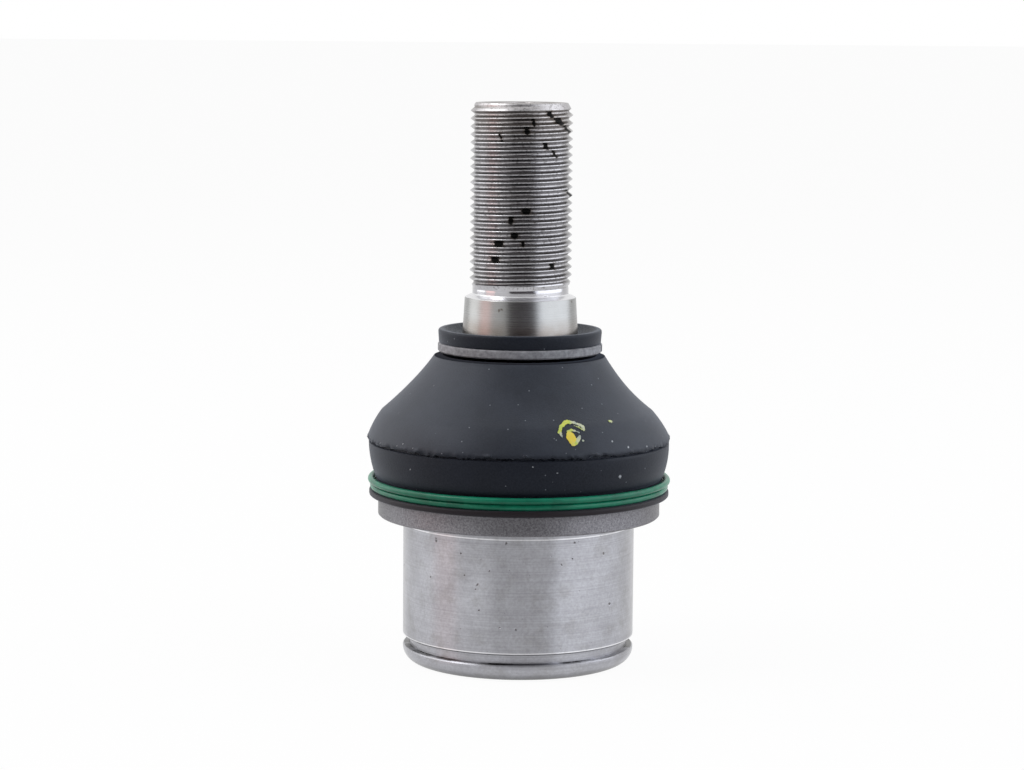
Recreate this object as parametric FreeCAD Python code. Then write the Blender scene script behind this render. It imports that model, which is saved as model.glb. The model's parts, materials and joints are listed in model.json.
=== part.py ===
import FreeCAD, Part
import math
import os

# Suspension ball joint that is pressed into a control arm, with a threaded taper stud.
# Lengths are in millimetres. The origin is the centre of the ball, and +Z points up the stud.
# Every radius and height below is worked out from the driving sizes in the first sections.

# Ball and bearing, whose sizes follow from the housing's seat and wall
BALL_FLAT_DIAMETER = 8.0
GREASE_FILM = 0.05
SEAT_WALL = 2.1
SEAT_SKIRT = 1.5
TAKE_UP_GAP = 1.5
CUP_FLOOR = 1.3
CUP_LEDGE = 1.5
TILT_LIMIT = 22.0
TILT_CLEARANCE = 1.0

# Spring and cover plate under the bearing
SPRING_WIDTH = 8.05
SPRING_THICKNESS = 0.75
SPRING_RISE = 0.34
SPRING_SIDE_GAP = 0.6
COVER_THICKNESS = 1.5
COVER_SHOULDER = 1.4
COVER_DIMPLE_INSET = 2.0
COVER_DIMPLE_HEIGHT = 0.6
COVER_DIMPLE_SLOPE = 1.4

# Housing
SEAT_DIAMETER = 44.0
HOUSING_WALL = 4.83
RIM_HEIGHT = 3.2
RIM_ROUND = 2.8
ROLLED_LIP_THICKNESS = 1.5
ROLLED_LIP_WIDTH = 2.8
RETAINING_GROOVE_WIDTH = 1.85
RETAINING_GROOVE_DEPTH = 1.25
FLANGE_HEIGHT_ABOVE_BALL = 7.6
FLANGE_THICKNESS = 3.8
FLANGE_OVERHANG = 4.8
GRINDING_RELIEF_HEIGHT = 0.6
GRINDING_RELIEF_DEPTH = 0.3
FACE_RELIEF_WIDTH = 0.5
FACE_RELIEF_DEPTH = 0.1
HOUSING_EDGE = 0.25
BOOT_SEAT_STEP = 2.0
BOOT_SEAT_HEIGHT = 4.1
BOOT_RIB_DEPTH = 1.0
BOOT_RIB_HEIGHT = 2.0
BOOT_RIB_START = 1.0

# Rubber boot
BOOT_HEIGHT = 31.65
BOOT_WALL = 1.8
BOOT_LIP_WIDTH = 4.5
BOOT_LIP_HEIGHT = 1.1
BELLY_BULGE = 0.35
BELLY_HEIGHT = 10.4
BELLY_FOOT_INSET = 0.75
SHOULDER_INSET = 3.1
SHOULDER_HEIGHT = 16.0
NECK_FLARE = 1.5
NECK_WALL = 1.9
NECK_LIP_HEIGHT = 2.6
NECK_LIP_WIDTH = 0.7
NECK_LIP_FLARE = 0.4
DISH_DEPTH = 1.6
DISH_LAND = 0.7
BELLY_BOW = 0.35
SHOULDER_BOW = 0.95
FLARE_BOW = 0.55

# Clamp rings and the ring inside the boot's neck
WIRE_DIAMETER = 1.2
WIRE_TURNS = 2
WIRE_SPACING = 0.02
WIRE_CONE = 0.4
WIRE_SINK = 0.75
WIRE_CROSSING_ANGLE = 30.0
BAND_HEIGHT = 1.7
BAND_THICKNESS = 0.9
BAND_EDGE = 0.25
BAND_GAP = 0.8
BAND_GAP_ANGLE = -9.0
BAND_SHADOW_GAP = 0.65
SLIDE_RING_WALL = 1.35
SLIDE_RING_HEIGHT = 4.5
SLIDE_RING_COLLAR_WIDTH = 1.2
SLIDE_RING_COLLAR_HEIGHT = 0.8

# Stud above the ball
NECK_TO_BALL = 17.0 / 30.0
BALL_FILLET = 1.2
NECK_FLARE_HEIGHT = 4.6
NECK_FLARE_BOW = 0.8
TAPER_STEP = 0.5
TAPER_RATIO = 1.0 / 8.0
TAPER_EDGE_RADIUS = 0.6
TAPER_EXPOSED_LENGTH = 6.0
TAPER_HIDDEN_LENGTH = 9.6
SHANK_UNDERCUT = 0.75
SHANK_LENGTH = 1.3
SHANK_BEVEL_HEIGHT = 0.8
THREAD_DIAMETER = 20.0
THREAD_LENGTH = 34.5
THREAD_START_HEIGHT = 0.7
THREAD_END_CHAMFER = 1.1
CENTRE_HOLE_DIAMETER = 5.0
CENTRE_HOLE_DEPTH = 4.3

# Clearances
NEST_GAP = 0.02
SLIP_GAP = 0.05

# Heights and radii that follow from the sizes above
seat_r = SEAT_DIAMETER / 2
bore_r = seat_r - HOUSING_WALL
seat_shell_r = bore_r - NEST_GAP
film_r = seat_shell_r - SEAT_WALL
ball_r = film_r - GREASE_FILM
neck_r = ball_r * NECK_TO_BALL
spring_outer_r = seat_shell_r - SPRING_SIDE_GAP
spring_inner_r = spring_outer_r - SPRING_WIDTH
tilt = math.radians(TILT_LIMIT)
opening_slope = math.tan(tilt)
opening_start_r = neck_r / math.cos(tilt) + TILT_CLEARANCE

skirt_z = -SEAT_SKIRT
cup_top_z = skirt_z - TAKE_UP_GAP
cup_bottom_z = -film_r - CUP_FLOOR
spring_top_z = cup_bottom_z - NEST_GAP
cover_top_z = spring_top_z - SPRING_THICKNESS - SPRING_RISE - NEST_GAP
cover_bottom_z = cover_top_z - COVER_THICKNESS
rolled_lip_z = cover_bottom_z - NEST_GAP
base_z = rolled_lip_z - ROLLED_LIP_THICKNESS
cover_r = bore_r + COVER_SHOULDER
cover_bore_r = cover_r + NEST_GAP
dimple_r = spring_inner_r - COVER_DIMPLE_INSET

rim_top_z = base_z + RIM_HEIGHT
groove_top_z = rim_top_z + RETAINING_GROOVE_WIDTH
groove_r = seat_r - RETAINING_GROOVE_DEPTH
flange_bottom_z = FLANGE_HEIGHT_ABOVE_BALL
flange_top_z = flange_bottom_z + FLANGE_THICKNESS
flange_r = seat_r + FLANGE_OVERHANG
boot_seat_r = seat_r + BOOT_SEAT_STEP
rib_r = boot_seat_r - BOOT_RIB_DEPTH
rib_bottom_z = flange_top_z + BOOT_RIB_START
rib_top_z = rib_bottom_z + BOOT_RIB_HEIGHT
housing_top_z = flange_top_z + BOOT_SEAT_HEIGHT

foot_z = flange_top_z + SLIP_GAP
lip_top_z = foot_z + BOOT_LIP_HEIGHT
wire_pitch = WIRE_DIAMETER + WIRE_SPACING
wire_groove_height = WIRE_TURNS * wire_pitch + 2 * SLIP_GAP
wire_groove_top_z = lip_top_z + wire_groove_height
lip_r = boot_seat_r + BOOT_LIP_WIDTH
belly_r = lip_r + BELLY_BULGE
belly_z = foot_z + BELLY_HEIGHT
belly_foot_r = belly_r - BELLY_FOOT_INSET
wire_low_r = lip_r - WIRE_SINK
wire_low_z = lip_top_z + SLIP_GAP + wire_pitch / 2
wire_slant = math.hypot(1, WIRE_CONE / wire_pitch)
wire_floor_low_r = wire_low_r - (WIRE_DIAMETER / 2 + SLIP_GAP) * wire_slant - WIRE_CONE / 2
wire_floor_high_r = wire_floor_low_r + WIRE_CONE * WIRE_TURNS
shoulder_r = belly_r - SHOULDER_INSET
shoulder_z = foot_z + SHOULDER_HEIGHT
boot_top_z = foot_z + BOOT_HEIGHT
band_top_z = boot_top_z - NECK_LIP_HEIGHT
band_bottom_z = band_top_z - BAND_HEIGHT
neck_base_z = band_bottom_z - BAND_SHADOW_GAP

thread_r = THREAD_DIAMETER / 2
shank_r = thread_r - SHANK_UNDERCUT
taper_top_r = thread_r + TAPER_STEP
taper_top_z = boot_top_z + TAPER_EXPOSED_LENGTH
taper_bottom_z = boot_top_z - TAPER_HIDDEN_LENGTH
shank_bottom_z = taper_top_z + SHANK_BEVEL_HEIGHT
thread_bottom_z = shank_bottom_z + SHANK_LENGTH
stud_top_z = thread_bottom_z + THREAD_LENGTH


def taper_r(z):
    """Radius of the stud's taper at height z."""
    return taper_top_r + (taper_top_z - z) * TAPER_RATIO / 2


slide_ring_top_z = band_top_z
slide_ring_bottom_z = slide_ring_top_z - SLIDE_RING_HEIGHT
slide_ring_r = taper_r(slide_ring_bottom_z) + SLIDE_RING_WALL
neck_bore_r = slide_ring_r + SLIP_GAP
band_floor_r = neck_bore_r + NECK_WALL
neck_base_r = band_floor_r + NECK_FLARE
neck_lip_r = band_floor_r + NECK_LIP_WIDTH
band_inner_r = band_floor_r + SLIP_GAP


def point(r, z):
    """A point of a half-section: r from the axis, z along it."""
    return FreeCAD.Vector(r, 0, z)


def bulge(start, end, rise):
    """The middle of an arc from start to end that stands rise to the right of the chord."""
    run_r = end[0] - start[0]
    run_z = end[1] - start[1]
    chord = math.hypot(run_r, run_z)
    middle_r = (start[0] + end[0]) / 2 + run_z / chord * rise
    middle_z = (start[1] + end[1]) / 2 - run_r / chord * rise
    return (middle_r, middle_z)


def rounded(before, corner, after, radius):
    """The two steps of a fillet that rounds a half-section's corner."""
    back = math.dist(corner, before)
    ahead = math.dist(corner, after)
    back_r, back_z = (before[0] - corner[0]) / back, (before[1] - corner[1]) / back
    ahead_r, ahead_z = (after[0] - corner[0]) / ahead, (after[1] - corner[1]) / ahead
    half_angle = math.acos(back_r * ahead_r + back_z * ahead_z) / 2
    setback = radius / math.tan(half_angle)
    depth = (radius / math.sin(half_angle) - radius) / (2 * math.cos(half_angle))
    begin = (corner[0] + back_r * setback, corner[1] + back_z * setback)
    end = (corner[0] + ahead_r * setback, corner[1] + ahead_z * setback)
    middle = (corner[0] + (back_r + ahead_r) * depth, corner[1] + (back_z + ahead_z) * depth)
    return [begin, (middle, end)]


def turned(start, steps):
    """Turn a closed half-section round the Z axis.

    A step (r, z) is a straight line to that point. A step (middle, end) is an arc to end
    through middle. The last point joins the first by a straight line.
    """
    edges = []
    here = start
    for step in steps + [start]:
        if isinstance(step[0], tuple):
            middle, end = step
            arc = Part.Arc(point(*here), point(*middle), point(*end))
            edges.append(arc.toShape())
            here = end
        elif math.dist(here, step) > 1e-6:
            edges.append(Part.LineSegment(point(*here), point(*step)).toShape())
            here = step
    face = Part.Face(Part.Wire(edges))
    return face.revolve(FreeCAD.Vector(0, 0, 0), FreeCAD.Vector(0, 0, 1), 360)


def on_sphere(radius, angle):
    """The point of a sphere's half-section at an angle from the +Z axis, in radians."""
    return (radius * math.sin(angle), radius * math.cos(angle))


def opening_r(z):
    """Radius of the cone that leaves room for the stud's neck at full tilt."""
    return opening_slope * z + opening_start_r


def opening_angle(radius):
    """Angle from +Z at which the tilt cone cuts a sphere about the ball's centre."""
    lean = 1 + opening_slope ** 2
    cross = opening_slope * opening_start_r
    root = math.sqrt(cross ** 2 - lean * (opening_start_r ** 2 - radius ** 2))
    return math.acos((root - cross) / lean / radius)


def ball_stud():
    """Ball, neck, taper and threaded end, forged and turned in one piece."""
    flat_r = BALL_FLAT_DIAMETER / 2
    flat_z = -math.sqrt(ball_r ** 2 - flat_r ** 2)
    fillet_r = neck_r + BALL_FILLET
    reach = ball_r + BALL_FILLET
    fillet_z = math.sqrt(reach ** 2 - fillet_r ** 2)
    fillet_angle = math.atan2(fillet_r, fillet_z)
    ball_end = on_sphere(ball_r, fillet_angle)
    half_turn = (math.pi / 2 + fillet_angle) / 2
    fillet_middle = (
        fillet_r - BALL_FILLET * math.sin(half_turn),
        fillet_z - BALL_FILLET * math.cos(half_turn),
    )
    flare_start = (neck_r, taper_bottom_z - NECK_FLARE_HEIGHT)
    taper_bottom = (taper_r(taper_bottom_z), taper_bottom_z)
    taper_top = (taper_top_r, taper_top_z)
    shank_bottom = (shank_r, shank_bottom_z)
    hole_r = CENTRE_HOLE_DIAMETER / 2
    return turned((0, flat_z), [
        (flat_r, flat_z),
        (on_sphere(ball_r, math.pi / 2), ball_end),
        (fillet_middle, (neck_r, fillet_z)),
        flare_start,
        (bulge(flare_start, taper_bottom, -NECK_FLARE_BOW), taper_bottom),
        *rounded(taper_bottom, taper_top, shank_bottom, TAPER_EDGE_RADIUS),
        shank_bottom,
        (shank_r, thread_bottom_z),
        (thread_r, thread_bottom_z + THREAD_START_HEIGHT),
        (thread_r, stud_top_z - THREAD_END_CHAMFER),
        (thread_r - THREAD_END_CHAMFER, stud_top_z),
        (hole_r, stud_top_z),
        (0, stud_top_z - CENTRE_HOLE_DEPTH),
    ])


def housing():
    """Turned steel body: press seat, flange, ring groove, boot seat and rolled rim."""
    lip_r_inner = cover_r - ROLLED_LIP_WIDTH
    rim_start = (seat_r - RIM_ROUND, base_z)
    rim_end = (seat_r, base_z + RIM_ROUND)
    turn = math.pi / 4
    rim_middle = (
        seat_r - RIM_ROUND * (1 - math.sin(turn)),
        base_z + RIM_ROUND * (1 - math.cos(turn)),
    )
    relief_r = seat_r - GRINDING_RELIEF_DEPTH
    relief_z = flange_bottom_z - GRINDING_RELIEF_HEIGHT
    throat_angle = opening_angle(bore_r)
    throat = on_sphere(bore_r, throat_angle)
    shell_middle = on_sphere(bore_r, (throat_angle + math.pi / 2) / 2)
    return turned((lip_r_inner, base_z), [
        rim_start,
        (rim_middle, rim_end),
        (seat_r, rim_top_z - HOUSING_EDGE),
        (seat_r - HOUSING_EDGE, rim_top_z),
        (groove_r, rim_top_z),
        (groove_r, groove_top_z),
        (seat_r - HOUSING_EDGE, groove_top_z),
        (seat_r, groove_top_z + HOUSING_EDGE),
        (seat_r, relief_z),
        (relief_r, relief_z + GRINDING_RELIEF_DEPTH),
        (relief_r, flange_bottom_z + FACE_RELIEF_DEPTH),
        (seat_r + FACE_RELIEF_WIDTH - FACE_RELIEF_DEPTH, flange_bottom_z + FACE_RELIEF_DEPTH),
        (seat_r + FACE_RELIEF_WIDTH, flange_bottom_z),
        (flange_r - HOUSING_EDGE, flange_bottom_z),
        (flange_r, flange_bottom_z + HOUSING_EDGE),
        (flange_r, flange_top_z - HOUSING_EDGE),
        (flange_r - HOUSING_EDGE, flange_top_z),
        (boot_seat_r, flange_top_z),
        (boot_seat_r, rib_bottom_z),
        (rib_r, rib_bottom_z + HOUSING_EDGE),
        (rib_r, rib_top_z - HOUSING_EDGE),
        (boot_seat_r, rib_top_z),
        (boot_seat_r, housing_top_z - HOUSING_EDGE),
        (boot_seat_r - HOUSING_EDGE, housing_top_z),
        (opening_r(housing_top_z), housing_top_z),
        throat,
        (shell_middle, (bore_r, 0)),
        (bore_r, cover_top_z),
        (cover_bore_r, cover_top_z),
        (cover_bore_r, rolled_lip_z),
        (lip_r_inner, rolled_lip_z),
    ])


def upper_bearing_seat():
    """Plastic shell over the top of the ball, cut back along the tilt cone."""
    inner_angle = opening_angle(film_r)
    outer_angle = opening_angle(seat_shell_r)
    skirt_angle = math.acos(skirt_z / film_r)
    inner_middle = on_sphere(film_r, (inner_angle + skirt_angle) / 2)
    outer_middle = on_sphere(seat_shell_r, (outer_angle + math.pi / 2) / 2)
    return turned(on_sphere(film_r, skirt_angle), [
        (seat_shell_r, skirt_z),
        (seat_shell_r, 0),
        (outer_middle, on_sphere(seat_shell_r, outer_angle)),
        on_sphere(film_r, inner_angle),
        (inner_middle, on_sphere(film_r, skirt_angle)),
    ])


def lower_bearing_cup():
    """Plastic cup under the ball, open in the middle for grease."""
    hole_r = spring_inner_r - CUP_LEDGE
    top_angle = math.acos(cup_top_z / film_r)
    hole_angle = math.pi - math.asin(hole_r / film_r)
    inner_middle = on_sphere(film_r, (top_angle + hole_angle) / 2)
    return turned((hole_r, cup_bottom_z), [
        (seat_shell_r, cup_bottom_z),
        (seat_shell_r, cup_top_z),
        on_sphere(film_r, top_angle),
        (inner_middle, on_sphere(film_r, hole_angle)),
    ])


def preload_spring():
    """Coned disc spring that presses the cup up against the ball."""
    return turned((spring_inner_r, spring_top_z - SPRING_THICKNESS), [
        (spring_outer_r, spring_top_z - SPRING_RISE - SPRING_THICKNESS),
        (spring_outer_r, spring_top_z - SPRING_RISE),
        (spring_inner_r, spring_top_z),
    ])


def cover_plate():
    """Pressed disc that closes the housing, with a dimple in its middle."""
    return turned((0, cover_bottom_z + COVER_DIMPLE_HEIGHT), [
        (dimple_r - COVER_DIMPLE_SLOPE / 2, cover_bottom_z + COVER_DIMPLE_HEIGHT),
        (dimple_r + COVER_DIMPLE_SLOPE / 2, cover_bottom_z),
        (cover_r, cover_bottom_z),
        (cover_r, cover_top_z),
        (dimple_r + COVER_DIMPLE_SLOPE, cover_top_z),
        (dimple_r, cover_top_z + COVER_DIMPLE_HEIGHT),
        (0, cover_top_z + COVER_DIMPLE_HEIGHT),
    ])


def boot():
    """Rubber boot: foot on the housing, grooved for both rings, dished lip round the stud."""
    belly_foot = (belly_foot_r, wire_groove_top_z)
    belly = (belly_r, belly_z)
    shoulder = (shoulder_r, shoulder_z)
    neck_base = (neck_base_r, neck_base_z)
    inner_foot = (boot_seat_r + BOOT_WALL, housing_top_z + BOOT_WALL)
    inner_belly = (belly_r - BOOT_WALL, belly_z)
    slant = BOOT_WALL * math.sqrt(0.5)
    inner_shoulder = (shoulder_r - slant, shoulder_z - slant)
    inner_neck = (neck_base_r - slant, neck_base_z - slant)
    foot_inner_r = boot_seat_r - BOOT_WALL / 2
    dish_floor_z = boot_top_z - DISH_DEPTH
    top_r = neck_lip_r + NECK_LIP_FLARE
    rib_slip_r = rib_r + SLIP_GAP
    foot_slip_r = boot_seat_r + SLIP_GAP
    return turned((foot_slip_r, foot_z), [
        (lip_r, foot_z),
        (lip_r, lip_top_z),
        (wire_floor_low_r, lip_top_z + SLIP_GAP),
        (wire_floor_high_r, wire_groove_top_z - SLIP_GAP),
        belly_foot,
        (bulge(belly_foot, belly, BELLY_BOW), belly),
        (bulge(belly, shoulder, SHOULDER_BOW), shoulder),
        (bulge(shoulder, neck_base, -FLARE_BOW), neck_base),
        (band_floor_r, neck_base_z),
        (band_floor_r, band_top_z),
        (neck_lip_r, band_top_z),
        (top_r, boot_top_z - NECK_LIP_FLARE),
        (top_r - NECK_LIP_FLARE, boot_top_z),
        (top_r - DISH_LAND, boot_top_z),
        (taper_r(dish_floor_z) + SLIP_GAP, dish_floor_z),
        (taper_r(slide_ring_top_z) + SLIP_GAP, slide_ring_top_z + SLIP_GAP),
        (neck_bore_r, slide_ring_top_z + SLIP_GAP),
        (neck_bore_r, inner_neck[1]),
        inner_neck,
        (bulge(inner_neck, inner_shoulder, FLARE_BOW), inner_shoulder),
        (bulge(inner_shoulder, inner_belly, -SHOULDER_BOW), inner_belly),
        (bulge(inner_belly, inner_foot, -BELLY_BOW), inner_foot),
        (foot_inner_r, housing_top_z + BOOT_WALL),
        (foot_inner_r, housing_top_z + SLIP_GAP),
        (foot_slip_r, housing_top_z + SLIP_GAP),
        (foot_slip_r, rib_top_z - SLIP_GAP),
        (rib_slip_r, rib_top_z - HOUSING_EDGE - SLIP_GAP),
        (rib_slip_r, rib_bottom_z + HOUSING_EDGE + SLIP_GAP),
        (foot_slip_r, rib_bottom_z + SLIP_GAP),
    ])


def around(radius, z, degrees):
    """The point at an angle round the Z axis, counted from the far side, +Y."""
    angle = math.radians(degrees + 90)
    return FreeCAD.Vector(radius * math.cos(angle), radius * math.sin(angle), z)


def lower_clamp_ring():
    """Spring wire wound in close flat turns, each stepping up to the next at the far side."""
    crossing = WIRE_CROSSING_ANGLE / 2
    turns = []
    for turn in range(WIRE_TURNS):
        radius = wire_low_r + WIRE_CONE * turn
        z = wire_low_z + wire_pitch * turn
        turns.append(Part.Arc(
            around(radius, z, crossing),
            around(radius, z, 180),
            around(radius, z, 360 - crossing),
        ))
    edges = [turns[0].toShape()]
    for turn in range(1, WIRE_TURNS):
        below, above = turns[turn - 1], turns[turn]
        halfway = around(
            wire_low_r + WIRE_CONE * (turn - 0.5), wire_low_z + wire_pitch * (turn - 0.5), 0
        )
        step_up = Part.BSplineCurve()
        step_up.interpolate(
            [below.value(below.LastParameter), halfway, above.value(above.FirstParameter)],
            InitialTangent=below.tangent(below.LastParameter)[0],
            FinalTangent=above.tangent(above.FirstParameter)[0],
        )
        edges.append(step_up.toShape())
        edges.append(above.toShape())
    begin = turns[0].value(turns[0].FirstParameter)
    direction = turns[0].tangent(turns[0].FirstParameter)[0]
    section = Part.Wire(Part.makeCircle(WIRE_DIAMETER / 2, begin, direction))
    return Part.Wire(edges).makePipeShell([section], True, False)


def upper_clamp_ring():
    """Flat band, bent to a ring with a narrow gap, in the groove of the boot's neck."""
    outer_r = band_inner_r + BAND_THICKNESS
    ring = turned((band_inner_r, band_bottom_z), [
        (outer_r - BAND_EDGE, band_bottom_z),
        (outer_r, band_bottom_z + BAND_EDGE),
        (outer_r, band_top_z - SLIP_GAP - BAND_EDGE),
        (outer_r - BAND_EDGE, band_top_z - SLIP_GAP),
        (band_inner_r, band_top_z - SLIP_GAP),
    ])
    gap = Part.makeBox(outer_r, BAND_GAP, BAND_HEIGHT * 2)
    gap.translate(FreeCAD.Vector(band_inner_r / 2, -BAND_GAP / 2, band_bottom_z - BAND_HEIGHT / 2))
    gap.rotate(FreeCAD.Vector(0, 0, 0), FreeCAD.Vector(0, 0, 1), BAND_GAP_ANGLE)
    return ring.cut(gap).Solids[0]


def neck_slide_ring():
    """Plastic ring inside the boot's neck that slides on the stud's taper."""
    collar_top_z = slide_ring_bottom_z + SLIDE_RING_COLLAR_HEIGHT
    collar_r = slide_ring_r + SLIDE_RING_COLLAR_WIDTH
    return turned((taper_r(slide_ring_bottom_z) + SLIP_GAP, slide_ring_bottom_z), [
        (collar_r, slide_ring_bottom_z),
        (collar_r, collar_top_z),
        (slide_ring_r, collar_top_z),
        (slide_ring_r, slide_ring_top_z),
        (taper_r(slide_ring_top_z) + SLIP_GAP, slide_ring_top_z),
    ])


PIECES = [
    ball_stud,
    housing,
    upper_bearing_seat,
    lower_bearing_cup,
    preload_spring,
    cover_plate,
    boot,
    lower_clamp_ring,
    upper_clamp_ring,
    neck_slide_ring,
]

os.makedirs("parts", exist_ok=True)
for make in PIECES:
    piece = make()
    piece.exportStep("parts/" + make.__name__ + ".step")
    print(make.__name__, piece.ShapeType, piece.isValid(), round(piece.Volume, 1))
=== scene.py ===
# %% [markdown]
# # A suspension ball joint, dressed in Blender
#
# The part is a press-in ball joint. A turned steel housing carries a rubber boot, two clamp rings
# hold the boot, and a forged stud with a fine thread stands out of it. The solids come from the CAD
# model, which is loaded first and never moved. Hard pieces whose shape is already right only get a
# finish here. The stud gets a real thread and the boot gets its moulding marks, so those two are
# modelled again on the same sizes.

import json
import math
import random

import bpy
from mathutils import Euler, Matrix, Vector, noise

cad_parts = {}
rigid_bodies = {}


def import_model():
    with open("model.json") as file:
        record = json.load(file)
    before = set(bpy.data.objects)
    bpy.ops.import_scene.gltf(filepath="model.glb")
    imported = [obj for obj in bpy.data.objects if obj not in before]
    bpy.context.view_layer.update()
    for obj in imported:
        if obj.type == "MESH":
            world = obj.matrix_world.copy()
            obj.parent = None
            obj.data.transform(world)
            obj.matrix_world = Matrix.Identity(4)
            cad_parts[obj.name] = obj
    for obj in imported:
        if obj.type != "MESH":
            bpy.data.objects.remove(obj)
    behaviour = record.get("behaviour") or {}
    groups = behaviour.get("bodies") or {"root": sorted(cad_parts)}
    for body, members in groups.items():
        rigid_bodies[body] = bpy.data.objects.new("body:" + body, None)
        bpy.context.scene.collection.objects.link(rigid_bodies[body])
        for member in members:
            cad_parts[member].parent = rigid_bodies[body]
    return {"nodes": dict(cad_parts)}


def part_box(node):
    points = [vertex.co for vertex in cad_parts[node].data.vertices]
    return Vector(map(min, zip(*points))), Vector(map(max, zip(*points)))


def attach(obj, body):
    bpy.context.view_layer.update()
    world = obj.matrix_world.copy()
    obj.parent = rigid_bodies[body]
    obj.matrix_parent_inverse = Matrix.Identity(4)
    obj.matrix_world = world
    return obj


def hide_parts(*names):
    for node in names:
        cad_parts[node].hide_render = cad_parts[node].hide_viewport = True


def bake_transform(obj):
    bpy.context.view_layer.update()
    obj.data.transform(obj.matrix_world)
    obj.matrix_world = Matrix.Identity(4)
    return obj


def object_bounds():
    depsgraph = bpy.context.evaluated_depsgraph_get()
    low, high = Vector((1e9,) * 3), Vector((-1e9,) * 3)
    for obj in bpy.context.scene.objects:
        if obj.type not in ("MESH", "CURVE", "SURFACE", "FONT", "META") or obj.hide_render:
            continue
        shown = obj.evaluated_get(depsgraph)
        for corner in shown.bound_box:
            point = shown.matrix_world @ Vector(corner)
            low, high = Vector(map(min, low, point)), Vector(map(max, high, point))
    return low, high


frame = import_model()
cad_low, cad_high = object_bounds()
nodes = frame["nodes"]
MM = 0.001
print("CAD box in mm:", [round(x / MM, 2) for x in (*cad_low, *cad_high)])

# %% [markdown]
# ## Small helpers
#
# Colours are written as hex values. Cycles works in linear light, so one function turns them round.
# Another adds a shader node with its settings and its inputs, where an input is a plain value or an
# earlier node. An input that isn't given keeps Blender's own value: a Map Range node turns 0 to 1
# into 0 to 1.

# %% Colours and nodes
def colour(hex_code):
    """Linear RGBA from an sRGB hex code."""
    channels = [int(hex_code[i:i + 2], 16) / 255 for i in (1, 3, 5)]
    linear = [c / 12.92 if c <= 0.04045 else ((c + 0.055) / 1.055) ** 2.4 for c in channels]
    return (*linear, 1.0)


def add_node(tree, kind, inputs=None, **settings):
    """Add a shader node with its settings and inputs. An earlier node gives its first output."""
    made = tree.nodes.new("ShaderNode" + kind)
    for name, value in settings.items():
        setattr(made, name, value)
    for socket, value in (inputs or {}).items():
        if isinstance(value, bpy.types.Node):
            value = value.outputs[0]
        if isinstance(value, bpy.types.NodeSocket):
            tree.links.new(value, made.inputs[socket])
        else:
            made.inputs[socket].default_value = value
    return made


def per_metre(size_mm):
    """The scale that makes one feature of a pattern this large."""
    return 1000 / size_mm


def set_ramp(ramp, *stops):
    """Give a colour ramp its stops, each a position and a hex code."""
    elements = ramp.color_ramp.elements
    while len(elements) > len(stops):
        elements.remove(elements[-1])
    while len(elements) < len(stops):
        elements.new(0.5)
    for element, (position, hex_code) in zip(elements, stops):
        element.position = position
        element.color = colour(hex_code)
    return ramp.outputs["Color"]


def new_material(name):
    """An empty node material and its tree."""
    material = bpy.data.materials.new(name)
    material.use_nodes = True
    material.node_tree.nodes.clear()
    return material, material.node_tree


def give(piece, material):
    """Make this the piece's only material."""
    piece.data.materials.clear()
    piece.data.materials.append(material)


# %% [markdown]
# ## The stage
#
# The part stands on a pale floor that runs out of sight. To the camera, and in reflections, nearly all
# of the floor's brightness is its own white, so the picture's ground is white while a faint shadow is
# left where the part stands. To the light that bounces, the same floor is a plain grey, so it throws
# little light up under the part.

# %% Floor
FLOOR_SIZE = 30.0
FLOOR_OWN_WHITE = 0.95
FLOOR_DROP = 0.00002


def deselect_all():
    """Start an operator with nothing selected."""
    if bpy.context.object and bpy.context.object.mode != "OBJECT":
        bpy.ops.object.mode_set(mode="OBJECT")
    bpy.ops.object.select_all(action="DESELECT")


def seen_rays(tree):
    """A mask of the rays that see the ground: the camera's, and those in gloss and through glass."""
    rays = add_node(tree, "LightPath").outputs
    seen = rays["Is Camera Ray"]
    for kind in ("Is Glossy Ray", "Is Transmission Ray"):
        seen = add_node(tree, "Math", {0: seen, 1: rays[kind]}, operation="MAXIMUM")
    return seen


floor_paint, tree = new_material("white_studio_floor")
grey = add_node(tree, "BsdfDiffuse", {"Color": colour("#8C8C8C")})
matt = add_node(tree, "BsdfDiffuse", {"Color": colour("#FAFAFA")})
white = add_node(tree, "Emission", {"Color": colour("#FFFFFF"), "Strength": 1.0})
lit = add_node(tree, "MixShader", {0: FLOOR_OWN_WHITE, 1: matt, 2: white})
mixed = add_node(tree, "MixShader", {0: seen_rays(tree), 1: grey, 2: lit})
add_node(tree, "OutputMaterial", {"Surface": mixed})

deselect_all()
bpy.ops.mesh.primitive_plane_add(size=FLOOR_SIZE, location=(0, 0, cad_low.z - FLOOR_DROP))
floor = bpy.context.object
floor.name = "floor"
give(floor, floor_paint)
print("floor at", round(floor.location.z / MM, 2), "mm")

# %% [markdown]
# ## Light
#
# The metal shows what stands round it. Wide bright bands on both sides of the stud with a dark middle
# say that tall soft boxes stood left and right, and that the camera's side of the room was dark. The
# left band is rosy on its inner side. The boot's left shoulder is the brightest part of the rubber
# and faces up, so one more box hung high on the left, and the bright bevel above the taper says that
# a last one hung over the part, a little behind it. The world lights the part dimly, but to the
# camera and in reflections it is as white as the floor. A dark cloth behind the camera, hidden from
# it, makes the dark middle.

# %% World and soft boxes
WORLD_LEVEL = 0.38
PART_MIDDLE = Vector((0, 0, 0.03))
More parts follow.
